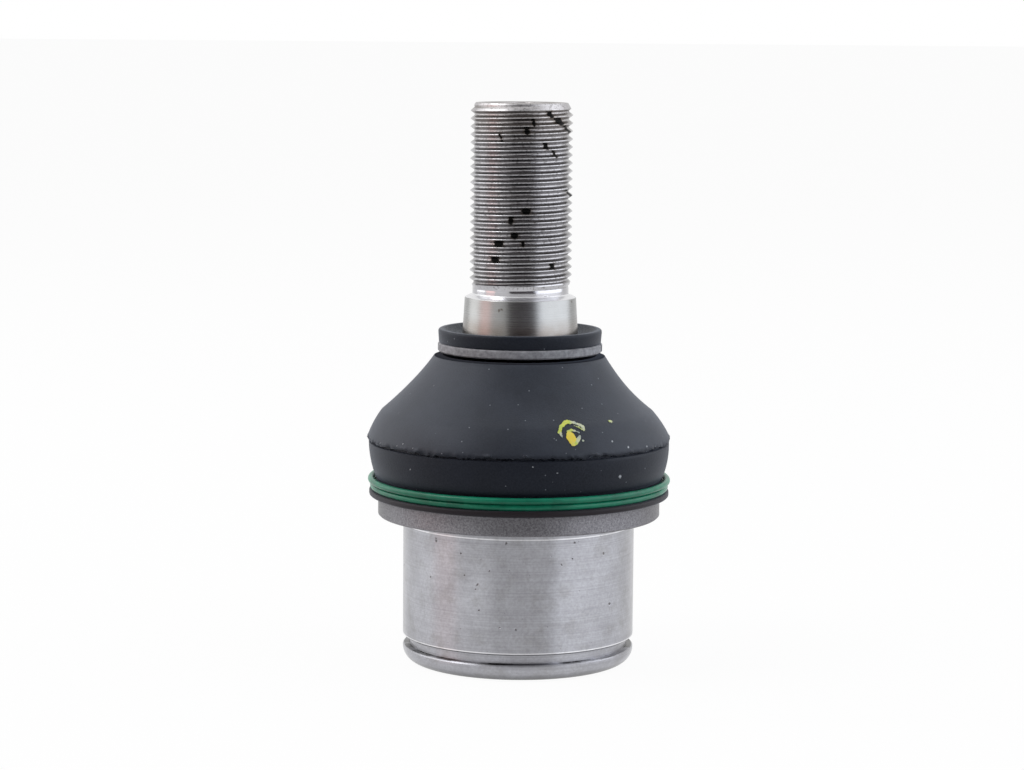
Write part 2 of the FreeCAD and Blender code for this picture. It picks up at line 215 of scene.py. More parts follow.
# Azimuth, distance, height of the middle, width, tallness, level and colour. All in metres.
SOFT_BOXES = {
    "soft_box_right": (76, 0.75, 0.25, 1.35, 1.0, 1.52, "#F1F6FF"),
    "soft_box_left": (-110, 0.75, 0.3, 0.5, 1.0, 1.3, "#FFFFFF"),
    "soft_box_rose": (-77, 0.75, 0.1, 0.34, 0.7, 0.9, "#FFB9AE"),
    "soft_box_high": (-72, 0.75, 0.8, 0.5, 0.4, 5.2, "#FFFFFF"),
    "soft_box_over": (180, 0.5, 1.0, 0.9, 0.7, 0.8, "#FFFFFF"),
}

world = bpy.data.worlds.new("white_room")
bpy.context.scene.world = world
world.use_nodes = True
world.node_tree.nodes.clear()
tree = world.node_tree
room = add_node(tree, "Background", {"Color": colour("#FFFFFF"), "Strength": WORLD_LEVEL})
ground = add_node(tree, "Background", {"Color": colour("#FFFFFF"), "Strength": 1.0})
mixed = add_node(tree, "MixShader", {0: seen_rays(tree), 1: room, 2: ground})
add_node(tree, "OutputWorld", {"Surface": mixed})


def aim(thing, azimuth, distance, height):
    """Stand a thing at an azimuth, 0 being the camera's side, and turn it to the part."""
    angle = math.radians(azimuth)
    place = Vector((math.sin(angle) * distance, -math.cos(angle) * distance, height))
    thing.location = place
    thing.rotation_euler = (place - PART_MIDDLE).to_track_quat("Z", "Y").to_euler()


for name, (azimuth, distance, stand, width, tall, level, hex_code) in SOFT_BOXES.items():
    lamp = bpy.data.lights.new(name, "AREA")
    lamp.shape = "RECTANGLE"
    lamp.size = width
    lamp.size_y = tall
    lamp.color = colour(hex_code)[:3]
    lamp.energy = level * math.pi * width * tall
    holder = bpy.data.objects.new(name, lamp)
    bpy.context.scene.collection.objects.link(holder)
    holder.visible_camera = False
    aim(holder, azimuth, distance, stand)
    print(name, round(lamp.energy, 2), "W")

# %% Dark cloth
CLOTH_SIZE = (1.38, 1.6, 0)
CLOTH_AZIMUTH = 7
CLOTH_DISTANCE = 1.0
CLOTH_HEIGHT = 0.35

cloth_paint, tree = new_material("dark_cloth")
felt = add_node(tree, "BsdfDiffuse", {"Color": colour("#827C80")})
add_node(tree, "OutputMaterial", {"Surface": felt})
deselect_all()
bpy.ops.mesh.primitive_plane_add(size=1)
cloth = bpy.context.object
cloth.name = "dark_cloth"
cloth.dimensions = CLOTH_SIZE
aim(cloth, CLOTH_AZIMUTH, CLOTH_DISTANCE, CLOTH_HEIGHT)
cloth.visible_camera = False
cloth.visible_shadow = False
give(cloth, cloth_paint)
print("cloth", CLOTH_SIZE[0], "m wide")

# %% [markdown]
# ## Camera
#
# The flange's ellipse is flatter than the rim's, which gives the camera's height and distance. It
# looks down by seven degrees, and the part leans a little to the right in the picture, so the camera
# is turned about its own axis by half a degree.

# %% Camera
CAMERA_PLACE = Vector((-1.46, -565.9, 101.3)) * MM
CAMERA_LENS = 105.56
CAMERA_PITCH = 6.955
CAMERA_ROLL = 0.45
CAMERA_SENSOR = 36
CAMERA_NEAREST = 0.01

camera = bpy.data.objects.new("camera", bpy.data.cameras.new("camera"))
bpy.context.scene.collection.objects.link(camera)
bpy.context.scene.camera = camera
camera.location = CAMERA_PLACE
looking = Euler((math.radians(90 - CAMERA_PITCH), 0, 0)).to_matrix()
camera.rotation_euler = (looking @ Matrix.Rotation(math.radians(CAMERA_ROLL), 3, "Z")).to_euler()
camera.data.lens = CAMERA_LENS
camera.data.sensor_width = CAMERA_SENSOR
camera.data.clip_start = CAMERA_NEAREST
bpy.context.scene.view_settings.view_transform = "Standard"
print("camera", round(camera.location.length / MM), "mm away")

# %% [markdown]
# ## Turned pieces
#
# The stud and the boot are round, so each starts as half of its section. A plane is merged to one
# point, the point is extruded along the section, and the line is spun round the axis, as a lathe does
# it. Arcs in a section are spelled out as a few points.

# %% Half-sections and spinning
WELD = MM / 500


def arc(start, end, rise, count):
    """Points of an arc from start to end, which stands rise to the right of the chord."""
    run_r, run_z = end[0] - start[0], end[1] - start[1]
    chord = math.hypot(run_r, run_z)
    radius = (chord * chord / 4 + rise * rise) / (2 * abs(rise))
    sweep = 2 * math.asin(min(1, chord / 2 / radius))
    side = math.copysign(1, rise)
    points = []
    for step in range(count + 1):
        angle = sweep * (step / count - 0.5)
        along = radius * math.sin(angle)
        out = side * (radius * math.cos(angle) - radius + abs(rise))
        middle_r, middle_z = (start[0] + end[0]) / 2, (start[1] + end[1]) / 2
        points.append((middle_r + run_r / chord * along + run_z / chord * out,
                       middle_z + run_z / chord * along - run_r / chord * out))
    return points


def draw_section(name, outline):
    """Extrude one point along a half-section of (radius, height) in mm, and stay in edit mode."""
    deselect_all()
    bpy.ops.mesh.primitive_plane_add(size=MM)
    piece = bpy.context.object
    piece.name = name
    bpy.ops.object.mode_set(mode="EDIT")
    bpy.ops.mesh.merge(type="CENTER")
    here = (0, 0)
    for number, (radius, height) in enumerate(outline):
        move = ((radius - here[0]) * MM, 0, (height - here[1]) * MM)
        if number == 0:
            bpy.ops.transform.translate(value=move)
        else:
            bpy.ops.mesh.extrude_region_move(TRANSFORM_OT_translate={"value": move})
        here = (radius, height)
    return piece


def spun(name, outline, steps):
    """A closed turned piece from its half-section."""
    piece = draw_section(name, outline)
    bpy.ops.mesh.select_all(action="SELECT")
    bpy.ops.mesh.spin(steps=steps, angle=math.tau, center=(0, 0, 0), axis=(0, 0, 1))
    bpy.ops.mesh.select_all(action="SELECT")
    bpy.ops.mesh.remove_doubles(threshold=WELD)
    bpy.ops.mesh.normals_make_consistent(inside=False)
    bpy.ops.object.mode_set(mode="OBJECT")
    return piece


def smooth(piece, degrees):
    """Smooth shading that keeps edges sharper than this angle."""
    deselect_all()
    piece.select_set(True)
    bpy.context.view_layer.objects.active = piece
    bpy.ops.object.shade_smooth_by_angle(angle=math.radians(degrees))


# %% [markdown]
# ## The stud's ball, neck and taper
#
# Below the thread the stud is a plain turned bar: a ball, a neck, a flare, the taper that seats in
# the wheel carrier, and a bevel. Only the last centimetre shows. Its sizes come from the frame: the
# stud's top, and the boot's top, which the taper stands out of.

# %% Stud body
stud_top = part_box("ball_stud")[1].z / MM
ball_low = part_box("ball_stud")[0].z / MM
boot_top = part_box("boot")[1].z / MM
BALL_RADIUS = 15.0
NECK_RADIUS = 8.5
THREAD_RADIUS = 9.66
SHANK_RADIUS = 9.1
TAPER_TOP_RADIUS = 10.5
TAPER_RATIO = 1 / 8
TAPER_HIDDEN = 9.6
TAPER_SHOWN = 6.0
BEVEL_HEIGHT = 0.75
EDGE_ROUND = 0.12
BALL_POINTS = 24
FLARE_HEIGHT = 4.6
STUD_STEPS = 128

taper_top = boot_top + TAPER_SHOWN
taper_foot = boot_top - TAPER_HIDDEN
taper_foot_radius = TAPER_TOP_RADIUS + (taper_top - taper_foot) * TAPER_RATIO / 2
bevel_top = taper_top + BEVEL_HEIGHT
ball_flat = math.sqrt(BALL_RADIUS ** 2 - ball_low ** 2)
ball_neck = math.asin(NECK_RADIUS / BALL_RADIUS) + 0.02
ball_start = math.asin(ball_flat / BALL_RADIUS)
ball_section = []
for step in range(BALL_POINTS + 1):
    angle = math.pi - ball_start + (ball_neck - math.pi + ball_start) * step / BALL_POINTS
    ball_section.append((BALL_RADIUS * math.sin(angle), BALL_RADIUS * math.cos(angle)))

stud_body = spun("stud_ball_and_taper", [
    (0, ball_low),
    *ball_section,
    (NECK_RADIUS, ball_section[-1][1] + 0.6),
    *arc((NECK_RADIUS, taper_foot - FLARE_HEIGHT), (taper_foot_radius, taper_foot), -0.8, 8),
    (TAPER_TOP_RADIUS + 0.03, taper_top - EDGE_ROUND),
    *arc((TAPER_TOP_RADIUS + 0.02, taper_top - EDGE_ROUND),
         (TAPER_TOP_RADIUS - 0.1, taper_top + 0.06), 0.03, 4)[1:],
    *arc((SHANK_RADIUS + 0.35, bevel_top - 0.25), (SHANK_RADIUS, bevel_top + 0.02), -0.05, 3),
    (0, bevel_top + 0.02),
], STUD_STEPS)
smooth(stud_body, 40)
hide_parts("ball_stud")
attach(stud_body, "stud")
print("stud body:", len(stud_body.data.polygons), "faces")

# %% [markdown]
# ## The stud's thread
#
# The thread is M20 with a pitch of 1.5 mm, and it is what catches the eye, so it is a true helix. One
# ridge of its section is drawn, round at the crest as rolling leaves it, and a Screw modifier winds
# it up by one pitch a turn. The ends are then cut flat, the top is chamfered and the lowest turns run
# out into the shank by holding each point inside the blank that the thread was rolled on.

# %% Thread
THREAD_PITCH = 1.5
THREAD_DEPTH = 0.78
CREST_WIDTH = 0.26
CREST_ROUND = 0.1
ROOT_WIDTH = 0.44
ROOT_ROUND = 0.1
ROOT_PHASE = 0.2
CHAMFER = 0.96
CHAMFER_HEIGHT = 1.65
RUN_OUT = 1.6
RUN_OUT_LEAD = 0.35
SHANK_LENGTH = 1.25
CENTRE_HOLE_RADIUS = 2.5
CENTRE_HOLE_DEPTH = 4.3

root_radius = THREAD_RADIUS - THREAD_DEPTH
crest_start = (THREAD_PITCH - CREST_WIDTH) / 2
thread_start = bevel_top + 0.02
first_root = (math.floor(thread_start / THREAD_PITCH) - 2) * THREAD_PITCH + ROOT_PHASE
turns = math.ceil((stud_top - first_root) / THREAD_PITCH) + 1
half_ridge = [
    (root_radius, 0),
    (root_radius + ROOT_ROUND / 4, ROOT_WIDTH / 4),
    (root_radius + ROOT_ROUND, ROOT_WIDTH / 2),
    (root_radius + THREAD_DEPTH / 2, (ROOT_WIDTH / 2 + crest_start) / 2),
    (THREAD_RADIUS - CREST_ROUND, crest_start),
    (THREAD_RADIUS - CREST_ROUND / 4, crest_start + CREST_WIDTH / 4),
]
ridge = [*half_ridge, (THREAD_RADIUS, THREAD_PITCH / 2),
         *((radius, THREAD_PITCH - rise) for radius, rise in reversed(half_ridge))]
thread = draw_section("stud_thread", [(radius, rise + first_root) for radius, rise in ridge])
bpy.ops.object.mode_set(mode="OBJECT")
screw = thread.modifiers.new("winding", "SCREW")
screw.axis = "Z"
screw.screw_offset = THREAD_PITCH * MM
screw.iterations = turns
screw.steps = screw.render_steps = STUD_STEPS
screw.use_merge_vertices = True
screw.merge_threshold = WELD
bpy.ops.object.modifier_apply(modifier=screw.name)

bpy.ops.object.mode_set(mode="EDIT")
for height, outwards in ((stud_top, 1), (thread_start, -1)):
    bpy.ops.mesh.select_all(action="SELECT")
    bpy.ops.mesh.bisect(plane_co=(0, 0, height * MM), plane_no=(0, 0, outwards), clear_outer=True,
                        threshold=MM / 1000)
bpy.ops.mesh.select_all(action="SELECT")
bpy.ops.mesh.remove_doubles(threshold=WELD)
bpy.ops.object.mode_set(mode="OBJECT")


def blank_radius(height):
    """Radius of the blank that holds the thread in, at a height in mm."""
    foot = thread_start + SHANK_LENGTH
    run_in = SHANK_RADIUS + (THREAD_RADIUS - SHANK_RADIUS) * (height - foot) / RUN_OUT
    run_off = THREAD_RADIUS - CHAMFER + (stud_top - height) * CHAMFER / CHAMFER_HEIGHT
    return min(THREAD_RADIUS, max(SHANK_RADIUS, run_in), run_off)


for vertex in thread.data.vertices:
    height = vertex.co.z / MM
    radius = math.hypot(vertex.co.x, vertex.co.y) / MM
    depth = min(1, max(0, (height - thread_start - SHANK_LENGTH) / RUN_OUT + RUN_OUT_LEAD))
    kept = SHANK_RADIUS + (radius - SHANK_RADIUS) * depth if radius < SHANK_RADIUS else radius
    factor = min(kept, blank_radius(height)) / radius
    vertex.co.x *= factor
    vertex.co.y *= factor

# %% [markdown]
# The open ends are closed by extruding their rims. The top goes in to a small drilled centre, which
# the stud was held by while it was turned.

# %% Thread ends
def select_rim(piece, height):
    """Select the open edge at a height in mm, in edit mode."""
    bpy.ops.object.mode_set(mode="OBJECT")
    for part in (*piece.data.polygons, *piece.data.edges, *piece.data.vertices):
        part.select = False
    for vertex in piece.data.vertices:
        vertex.select = abs(vertex.co.z - height * MM) < MM / 200
    bpy.ops.object.mode_set(mode="EDIT")
    bpy.ops.mesh.select_mode(type="VERT")


def draw_in(height, radius, new_radius, drop):
    """Extrude the selected rim to another radius, and down by drop, all in mm."""
    bpy.ops.mesh.extrude_edges_move(TRANSFORM_OT_translate={"value": (0, 0, -drop * MM)})
    share = new_radius / radius
    bpy.ops.transform.resize(value=(share, share, 1), center_override=(0, 0, height * MM))


END_LAND = 0.12
HOLE_TIP_RADIUS = 0.4
end_radius = THREAD_RADIUS - CHAMFER
select_rim(thread, stud_top)
draw_in(stud_top, end_radius, end_radius - END_LAND, 0)
draw_in(stud_top, end_radius - END_LAND, CENTRE_HOLE_RADIUS, 0)
draw_in(stud_top, CENTRE_HOLE_RADIUS, HOLE_TIP_RADIUS, CENTRE_HOLE_DEPTH)
bpy.ops.mesh.merge(type="CENTER")
select_rim(thread, thread_start)
draw_in(thread_start, SHANK_RADIUS, 1, 0)
bpy.ops.mesh.merge(type="CENTER")
bpy.ops.mesh.select_all(action="SELECT")
bpy.ops.mesh.normals_make_consistent(inside=False)
bpy.ops.object.mode_set(mode="OBJECT")
smooth(thread, 50)
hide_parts("ball_stud")
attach(thread, "stud")
print("thread:", round((stud_top - thread_start) / THREAD_PITCH), "turns,",
      len(thread.data.polygons), "faces")

# %% [markdown]
# Grease and grit sit in the thread's grooves. The groove's depth and the flecks are stored on the
# mesh as two numbers per point, which the steel's shader turns into painted shade on the groove
# flanks and into black grease. Each fleck is an angle round the stud from the front, a height and
# half a width. More are scattered over the back with a fixed seed, so that no side is bare.

# %% Groove shade and grease
GREASE_FLECKS = [
    (35, 83.7, 0.65), (50, 82.3, 1.2), (14, 82.1, 0.4), (6, 80.6, 0.6), (68, 80.7, 0.9),
    (30, 77.8, 0.5), (76, 68.6, 1.1), (6, 65.8, 1.0), (-12, 64.0, 0.6), (-8, 61.3, 0.75),
    (-28, 59.7, 1.05), (2, 59.8, 0.35), (-33, 56.8, 0.95), (41, 55.5, 0.55), (-25, 79.7, 0.25),
    (43, 76.3, 0.35),
]
GREASE_TALL = 0.62
GREASE_RAGGED = 0.3
GREASE_FINENESS = 2.1
BACK_FLECKS = 14
BACK_ANGLES = (95, 265)
BACK_SIZES = (0.35, 0.9)

chance = random.Random(20)
for fleck in range(BACK_FLECKS):
    GREASE_FLECKS.append((chance.uniform(*BACK_ANGLES),
                          chance.uniform(thread_start + 3, stud_top - 2),
                          chance.uniform(*BACK_SIZES)))


def grease_at(place):
    """How far inside a grease fleck a point of the thread is, above 0.5 being inside."""
    around = math.degrees(math.atan2(place.x, -place.y))
    ragged = GREASE_RAGGED * noise.noise(place * GREASE_FINENESS)
    deepest = 0
    for angle, height, half in GREASE_FLECKS:
        if abs(place.z - height) < 2 * GREASE_TALL:
            across = math.radians((around - angle + 180) % 360 - 180) * THREAD_RADIUS
            off = math.hypot(across / half, (place.z - height) / GREASE_TALL)
            deepest = max(deepest, 1.5 - off + ragged)
    return deepest


depths, greased = [], []
for vertex in thread.data.vertices:
    place = vertex.co / MM
    full = blank_radius(place.z) - place.xy.length
    depths.append(min(1, full / THREAD_DEPTH))
    greased.append(grease_at(place))
for name, values in (("groove_depth", depths), ("grease", greased)):
    thread.data.attributes.new(name, "FLOAT", "POINT").data.foreach_set("value", values)
print("grease flecks:", len(GREASE_FLECKS))

# %% [markdown]
# ## The rubber boot
#
# The boot is moulded in two halves that meet at its widest line, where a ragged flash is left. It is
# thick and soft. Its foot grips the housing under the wire ring, its neck carries the flat ring, and
# its top lip is dished round the stud. Its outline is drawn with the flash in it, and spun.

# %% Boot outline
boot_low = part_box("boot")[0].z / MM
boot_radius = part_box("boot")[1].x / MM
wire_low, wire_high = (corner.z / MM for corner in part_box("lower_clamp_ring"))
band_low, band_high = (corner.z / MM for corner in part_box("upper_clamp_ring"))
band_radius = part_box("upper_clamp_ring")[1].x / MM
LIP_RADIUS = 28.5
LIP_HEIGHT = 1.1
WIRE_FLOOR_LOW = 26.86
WIRE_FLOOR_HIGH = 27.2
BELLY_FOOT_RADIUS = 27.4
FLASH_HEIGHT = 22.3
FLASH_THICKNESS = 0.3
CREASE_DEPTH = 0.85
CREASE_HEIGHT = 0.52
SHOULDER = (25.8, 27.45)
NECK_FOOT = (16.22, 37.95)
NECK_FLOOR_RADIUS = 14.62
BOOT_WALL = 1.8
HOUSING_NECK_RADIUS = 24.05
HOUSING_NECK_TOP = 15.55
SLIDE_RING_RADIUS = 12.77
SOFT_EDGE = 0.3
INNER_STEP = 1.3
BOOT_STEPS = 480

top_radius = band_radius - 0.08
dish_floor = boot_top - 1.6
stud_radius = TAPER_TOP_RADIUS + (taper_top - dish_floor) * TAPER_RATIO / 2 + 0.05
inner_shoulder = (SHOULDER[0] - INNER_STEP, SHOULDER[1] - INNER_STEP)
inner_neck = (NECK_FOOT[0] - INNER_STEP, NECK_FOOT[1] - INNER_STEP)
flash_radius = boot_radius - 0.14
flash_foot = FLASH_HEIGHT - FLASH_THICKNESS / 2
flash_under = (flash_radius - 0.25, flash_foot - CREASE_HEIGHT)
flash_over = (flash_radius - 0.12, FLASH_HEIGHT + 0.45)
boot = spun("boot_skin", [
    (HOUSING_NECK_RADIUS, boot_low),
    *arc((LIP_RADIUS - SOFT_EDGE, boot_low), (LIP_RADIUS, boot_low + SOFT_EDGE), 0.08, 3),
    *arc((LIP_RADIUS, boot_low + LIP_HEIGHT - SOFT_EDGE),
         (LIP_RADIUS - SOFT_EDGE, boot_low + LIP_HEIGHT), 0.08, 3),
    (WIRE_FLOOR_LOW, boot_low + LIP_HEIGHT + 0.05),
    (WIRE_FLOOR_HIGH, wire_high + 0.02),
    (BELLY_FOOT_RADIUS - 0.1, wire_high + 0.06),
    *arc((BELLY_FOOT_RADIUS, wire_high + 0.2), flash_under, 0.3, 12),
    (flash_under[0] - 0.12, flash_under[1] + 0.1),
    (flash_radius - CREASE_DEPTH, flash_under[1] + 0.2),
    (flash_radius - CREASE_DEPTH, flash_foot - 0.06),
    (flash_radius - 0.1, flash_foot),
    (flash_radius, FLASH_HEIGHT - 0.04),
    (flash_radius - 0.03, FLASH_HEIGHT + FLASH_THICKNESS / 2),
    *arc(flash_over, SHOULDER, 0.2, 14),
    *arc(SHOULDER, NECK_FOOT, -0.55, 16)[1:],
    (NECK_FOOT[0] - 0.3, NECK_FOOT[1] + 0.12),
    (NECK_FLOOR_RADIUS, NECK_FOOT[1] + 0.2),
    (NECK_FLOOR_RADIUS, band_high + 0.03),
    (band_radius - 0.35, band_high + 0.05),
    (band_radius - 0.22, band_high + 0.2),
    (top_radius, boot_top - 0.55),
    *arc((top_radius, boot_top - 0.5), (top_radius - 0.5, boot_top), 0.16, 5),
    (top_radius - 0.9, boot_top - 0.02),
    *arc((top_radius - 1.0, boot_top - 0.1), (stud_radius + 1.2, dish_floor - 0.15), -0.15, 5),
    (stud_radius, dish_floor + 0.05),
    (stud_radius + 0.05, band_high + 0.1),
    (SLIDE_RING_RADIUS, band_high + 0.1),
    (SLIDE_RING_RADIUS, inner_neck[1]),
    *arc(inner_neck, inner_shoulder, 0.55, 10),
    *arc(inner_shoulder, (boot_radius - BOOT_WALL, FLASH_HEIGHT), -0.9, 8)[1:],
    (HOUSING_NECK_RADIUS + BOOT_WALL, HOUSING_NECK_TOP + BOOT_WALL),
    (HOUSING_NECK_RADIUS - BOOT_WALL / 2, HOUSING_NECK_TOP + BOOT_WALL),
    (HOUSING_NECK_RADIUS - BOOT_WALL / 2, HOUSING_NECK_TOP),
    (HOUSING_NECK_RADIUS, HOUSING_NECK_TOP),
    (HOUSING_NECK_RADIUS, boot_low),
], BOOT_STEPS)
print("boot:", len(boot.data.polygons), "faces")

# %% [markdown]
# A moulding is never perfectly round. The flash is torn rather than cut, so its edge wanders, hangs
# over the crease under it and has nicks, and the whole belly sags a little to one side, most some
# millimetres above the flash. Noise with a fixed pattern moves the points, so that the boot comes out
# the same each time. The bigger nicks are placed by their angle from the front.

# %% Flash and sag
FLASH_TEAR = 0.8
FLASH_REACH = 0.55
TEAR_LENGTH = 2.2
NICKS = {-88: 0.3, -71: 0.35, -57: 0.3, -38: 0.4, -26: 0.3, 12: 0.35, 33: 0.3, 62: 0.35, 86: 0.35,
         140: 0.3, -150: 0.25}
NICK_WIDTH = 1.6
SAG = 0.5
SAG_HEIGHT = 30.0
SAG_SPREAD = 6.0


def on_boot(place):
    """Move one point of the moulded shape to where the soft boot has it. Everything in mm."""
    radius = place.xy.length
    near = max(0, 1 - abs(place.z - FLASH_HEIGHT) / FLASH_REACH)
    if near and radius > boot_radius - 1:
        around = math.degrees(math.atan2(place.x, -place.y))
        rim = place.xy.to_3d()
        wave = noise.noise(rim / TEAR_LENGTH / 3)
        tear = noise.noise(rim / TEAR_LENGTH)
        ragged = noise.noise(rim / TEAR_LENGTH * 3.1)
        cut = sum(depth * max(0, 1 - abs(around - angle) / NICK_WIDTH)
                  for angle, depth in NICKS.items())
        share = 1 + near * (FLASH_TEAR * (tear + ragged - 0.4) / 3 - cut) / radius
        lift = near * FLASH_TEAR * (0.8 * wave + 0.6 * tear + 0.8 * ragged)
        place = Vector((place.x * share, place.y * share, place.z + lift))
    lean = math.exp(-((place.z - SAG_HEIGHT) / SAG_SPREAD) ** 2)
    return place - Vector((SAG * lean, 0, 0))


for vertex in boot.data.vertices:
    vertex.co = on_boot(vertex.co / MM) * MM
smooth(boot, 50)

# %% [markdown]
# The rubber's pattern has to stay with the rubber when the boot bends, so each point's resting place
# is stored on the mesh. The shaders read it instead of the object's own coordinates.

# %% Boot attributes and baked transforms
def remember_rest(piece):
    """Store where each point rests, in metres."""
    resting = piece.data.attributes.new("resting_place", "FLOAT_VECTOR", "POINT")
    resting.data.foreach_set("vector", [x for vertex in piece.data.vertices for x in vertex.co])


remember_rest(boot)


def bend_with_boot(piece):
    """Bake the piece's transform into its mesh."""
    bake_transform(piece)


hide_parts("boot")

# %% [markdown]
# ## The inspector's paint mark
#
# A dab of yellow paint on the boot says that the joint was checked. It is a thick blob under an arch,
# put on with one turn of a soft marker, so it is drawn as strokes: each point of a stroke has a
# place, half a width, and how thin the paint has run. A fine grid is laid in front of the boot,
# everything off the strokes is deleted, a Shrinkwrap modifier presses the rest on the rubber, and
# Solidify gives it the thickness of a coat of paint.

# %% Strokes
STROKES = [
    [(7.8, 25.9, 0.1, 1.0), (7.2, 26.8, 0.33, 0.6), (7.5, 27.6, 0.32, 0.5), (8.2, 28.2, 0.34, 0.4),
     (9.0, 28.35, 0.3, 0.5), (10.0, 28.1, 0.17, 0.9), (11.1, 27.75, 0.2, 0.8),
     (11.6, 27.3, 0.24, 0.8), (11.75, 26.85, 0.12, 0.7)],
    [(9.9, 27.7, 0.06, 0.7), (10.9, 27.35, 0.09, 0.6), (11.4, 26.95, 0.1, 0.6)],
    [(8.95, 26.45, 0.5, 0.1), (9.25, 25.9, 0.78, 0.0), (9.65, 25.3, 0.74, 0.0), (9.8, 24.8, 0.5, 0.3)],
    [(8.55, 26.85, 0.12, 0.6), (9.35, 27.0, 0.2, 0.5), (10.2, 26.8, 0.13, 0.9), (10.9, 26.5, 0.08, 1.0)],
    [(10.15, 24.85, 0.4, 0.5), (10.55, 25.3, 0.4, 0.75), (10.95, 25.9, 0.24, 0.9)],
    [(11.5, 25.15, 0.17, 0.9), (11.55, 25.1, 0.15, 0.9)],
    [(16.3, 28.1, 0.12, 0.6), (16.85, 27.8, 0.17, 0.7)],
]
RAGGED = 0.12
RAGGED_FINENESS = 2.2


def paint_at(x, z):
    """How far inside the paint a point is, and how thin the paint has run there."""
    inside, thin = -1, 0
    for stroke in STROKES:
        for (x0, z0, half0, thin0), (x1, z1, half1, thin1) in zip(stroke, stroke[1:]):
            run = Vector((x1 - x0, z1 - z0))
            along = Vector((x - x0, z - z0)).dot(run) / run.length_squared
            along = min(1, max(0, along))
            away = math.hypot(x - x0 - run.x * along, z - z0 - run.y * along)
            within = half0 + (half1 - half0) * along - away
            if within > inside:
                inside, thin = within, thin0 + (thin1 - thin0) * along
    return inside + RAGGED * noise.noise(Vector((x, z, 3)) * RAGGED_FINENESS), thin


print("strokes:", len(STROKES))

# %% Paint mark
MARK_PLACE = (12.0, 26.6)
MARK_SIZE = 11.4
MARK_CELLS = 120
MARK_AHEAD = 40
PAINT_LIFT = 0.02
PAINT_THICKNESS = 0.09

deselect_all()
bpy.ops.mesh.primitive_grid_add(
    x_subdivisions=MARK_CELLS, y_subdivisions=MARK_CELLS, size=MARK_SIZE * MM,
    location=(MARK_PLACE[0] * MM, -MARK_AHEAD * MM, MARK_PLACE[1] * MM),
    rotation=(math.pi / 2, 0, 0))
mark = bpy.context.object
mark.name = "inspection_paint"
bpy.ops.object.transform_apply(location=True, rotation=True, scale=True)
bpy.ops.object.mode_set(mode="EDIT")
bpy.ops.mesh.select_mode(type="FACE")
bpy.ops.mesh.select_all(action="DESELECT")
bpy.ops.object.mode_set(mode="OBJECT")
for face in mark.data.polygons:
    face.select = paint_at(face.center.x / MM, face.center.z / MM)[0] < 0
bpy.ops.object.mode_set(mode="EDIT")
bpy.ops.mesh.delete(type="FACE")
bpy.ops.mesh.select_all(action="SELECT")
bpy.ops.mesh.vertices_smooth(factor=0.5, repeat=2)
bpy.ops.object.mode_set(mode="OBJECT")
press = mark.modifiers.new("press", "SHRINKWRAP")
press.target = boot
press.wrap_method = "PROJECT"
press.use_project_y = True
press.offset = PAINT_LIFT * MM
coat = mark.modifiers.new("coat", "SOLIDIFY")
coat.thickness = PAINT_THICKNESS * MM
coat.offset = 1
for modifier in (press, coat):
    bpy.ops.object.modifier_apply(modifier=modifier.name)
smooth(mark, 60)
thins = [paint_at(vertex.co.x / MM, vertex.co.z / MM)[1] for vertex in mark.data.vertices]
mark.data.attributes.new("paint_thinness", "FLOAT", "POINT").data.foreach_set("value", thins)
remember_rest(mark)
bend_with_boot(mark)
bend_with_boot(boot)
print("paint mark:", len(mark.data.polygons), "faces")

# %% [markdown]
# ## Steel finishes
#
# All the steel starts as bare steel and differs in how it was made. Turning and grinding leave rings
# round the axis, so their pattern is noise that is squeezed along the axis and drawn out round it.
# Real rings are too fine to show, so these are a tenth of a millimetre wide or more. Blasting leaves
# a fine even grain. Oil and grit leave dark spots, which are given by their places. What lies on the
# steel is mixed over it in layers, each with its mask, and so are painted shade and painted highlights.

# %% Turned steel
STREAK_LENGTH = 60.0
STAIN_SIZE = 6.0
WORN_SIZE = 0.5
CLOUDY = {"Detail": 4.0, "Roughness": 0.6}


def turned_rings(tree, place, ring_mm):
    """Noise in rings round the axis, each about this wide."""
    stretch = ring_mm / STREAK_LENGTH
    squeeze = add_node(tree, "Mapping", {"Vector": place, "Scale": (stretch, stretch, 1)})
    return add_node(tree, "TexNoise", {"Vector": squeeze, "Scale": per_metre(ring_mm), "Detail": 3.0,
                                       "Roughness": 0.6})


def turned_tone(tree, place, rings, light, dark):
    """Two greys that mix by the rings and by larger stains."""
    stains = add_node(tree, "TexNoise", {"Vector": place, "Scale": per_metre(STAIN_SIZE), **CLOUDY})
    tone = add_node(tree, "Math", {0: rings, 1: stains}, operation="ADD")
    tone = add_node(tree, "MapRange", {0: tone, 1: 0.7, 2: 1.3})
    return set_ramp(add_node(tree, "ValToRGB", {0: tone}), (0, dark), (1, light))


def spotted(tree, place, spots):
    """A mask of small marks: each an angle from the front, a radius, a height and a size in mm."""
    worn = add_node(tree, "TexNoise",
                    {"Vector": place, "Scale": per_metre(WORN_SIZE), "Detail": 1.0})
    shift = add_node(tree, "VectorMath", {0: worn.outputs["Color"], 1: (0.5, 0.5, 0.5)},
                     operation="SUBTRACT")
    shift = add_node(tree, "VectorMath", {0: shift, "Scale": WORN_SIZE * MM}, operation="SCALE")
    ragged = add_node(tree, "VectorMath", {0: place, 1: shift}, operation="ADD")
    mask = 0.0
    for angle, radius, height, size in spots:
        turn = math.radians(angle)
        middle = Vector((math.sin(turn) * radius, -math.cos(turn) * radius, height)) * MM
        away = add_node(tree, "VectorMath", {0: ragged, 1: middle}, operation="DISTANCE")
        spot = add_node(tree, "MapRange", {0: away.outputs["Value"], 1: size * MM, 2: size * MM / 2})
        mask = add_node(tree, "Math", {0: spot, 1: mask}, operation="MAXIMUM")
    return mask
